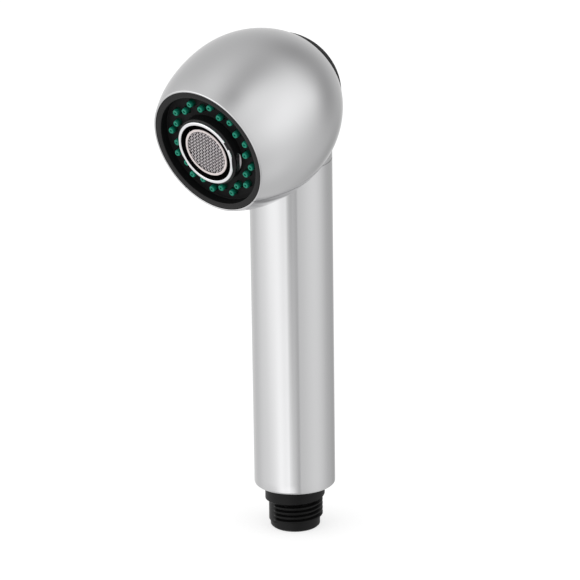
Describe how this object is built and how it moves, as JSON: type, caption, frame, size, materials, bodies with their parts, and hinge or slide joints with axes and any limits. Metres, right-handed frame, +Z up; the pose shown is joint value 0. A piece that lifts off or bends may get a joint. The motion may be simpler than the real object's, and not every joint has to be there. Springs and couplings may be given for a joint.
{
  "type": "hand sprayer",
  "caption": "Hand sprayer: a silver ball head with a round spray face and a rocker button, on a straight handle with a threaded hose inlet.",
  "frame": {"origin": "centre of the inlet thread's flat end face, on the handle's axis", "axes": "+Z up the handle, -Y the way the spray face looks, +X to the right of a viewer who faces the spray face"},
  "size_m": [0.0612, 0.0684, 0.1939],
  "materials": {
    "satin_nickel": "satin silver plating on moulded plastic",
    "black_plastic": "semi-gloss black plastic",
    "button_plastic": "satin black plastic",
    "thread_plastic": "satin black engineering plastic",
    "green_silicone": "teal-green silicone",
    "chrome": "bright chrome plating",
    "pale_plastic": "pale translucent plastic",
    "stainless": "stainless steel",
    "white_plastic": "white acetal",
    "grey_plastic": "dark grey moulded plastic",
    "black_rubber": "black rubber"
  },
  "bodies": {
    "sprayer": {"head_shell": "satin_nickel", "handle_shell": "satin_nickel", "face_plate": "black_plastic", "nozzle_mat": "green_silicone", "aerator_housing": "chrome", "aerator_cartridge": "pale_plastic", "aerator_screen": "stainless", "aerator_washer": "black_rubber", "distributor": "white_plastic", "distributor_o_ring": "black_rubber", "distributor_screws": "stainless", "diverter_housing": "grey_plastic", "housing_screws": "stainless", "spool_cap": "grey_plastic", "rocker_bracket": "grey_plastic", "bracket_screws": "stainless", "rocker_pin": "stainless", "waterway_tube": "thread_plastic", "tube_o_rings": "black_rubber", "inlet_strainer": "stainless", "check_valve_body": "white_plastic", "check_valve_spring": "stainless", "check_valve_o_ring": "black_rubber"},
    "rocker": {"rocker_button": "button_plastic"},
    "spool": {"diverter_spool": "white_plastic", "spool_o_rings": "black_rubber"},
    "poppet": {"check_valve_poppet": "white_plastic"}
  },
  "joints": [
    {"name": "rocker_tilt", "type": "hinge", "parent": "sprayer", "child": "rocker", "pos_m": [0, 0.00381, 0.1711], "axis": [1, 0, 0], "range_deg": [-6, 6]},
    {"name": "diverter_slide", "type": "slide", "parent": "sprayer", "child": "spool", "axis": [0, 0.3173, -0.9483], "range_m": [-0.00147, 0.00147]},
    {"name": "check_poppet", "type": "slide", "parent": "sprayer", "child": "poppet", "axis": [0, 0, 1], "range_m": [0, 0.0024], "stiffness_N_per_m": 120, "springref_m": -0.002, "deforming": ["check_valve_spring"]}
  ],
  "couplings": [
    {"joint": "rocker_tilt", "follows": "diverter_slide", "rad_per_m": 71.42}
  ]
}
